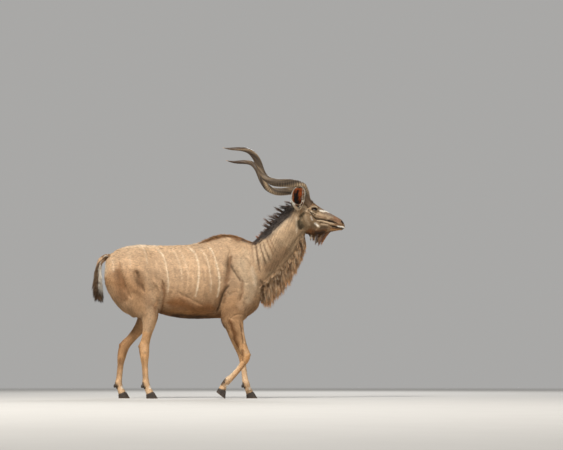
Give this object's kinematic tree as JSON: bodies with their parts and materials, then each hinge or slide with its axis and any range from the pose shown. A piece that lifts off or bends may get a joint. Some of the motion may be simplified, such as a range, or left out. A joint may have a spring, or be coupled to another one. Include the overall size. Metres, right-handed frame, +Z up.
{
  "type": "greater kudu",
  "caption": "Greater kudu bull walking with its head up, long spiral horns, a crest and a throat fringe, as a still life-size model.",
  "frame": {"origin": "on the floor, under the middle of the bounding box", "axes": "+X towards the nose, +Y towards the animal's left side, +Z up"},
  "size_m": [2.2068, 0.7382, 2.1255],
  "materials": {
    "coat": "short grey-fawn coat with thin white stripes, dark crest and pale throat fringe",
    "horn": "ridged grey-brown horn, smoother and paler towards the tips",
    "hoof": "dark horny hoof with a slight sheen",
    "eye": "wet, very dark brown"
  },
  "bodies": {
    "root": {"torso": "coat", "neck": "coat", "head": "coat", "tail": "coat", "ear_right": "coat", "eye_right": "eye", "horn_right": "horn", "ear_left": "coat", "eye_left": "eye", "horn_left": "horn", "leg_front_right": "coat", "hoof_front_right_inner": "hoof", "dewclaw_front_right_inner": "hoof", "hoof_front_right_outer": "hoof", "dewclaw_front_right_outer": "hoof", "leg_front_left": "coat", "hoof_front_left_inner": "hoof", "dewclaw_front_left_inner": "hoof", "hoof_front_left_outer": "hoof", "dewclaw_front_left_outer": "hoof", "leg_hind_right": "coat", "hoof_hind_right_inner": "hoof", "dewclaw_hind_right_inner": "hoof", "hoof_hind_right_outer": "hoof", "dewclaw_hind_right_outer": "hoof", "leg_hind_left": "coat", "hoof_hind_left_inner": "hoof", "dewclaw_hind_left_inner": "hoof", "hoof_hind_left_outer": "hoof", "dewclaw_hind_left_outer": "hoof"}
  },
  "joints": []
}
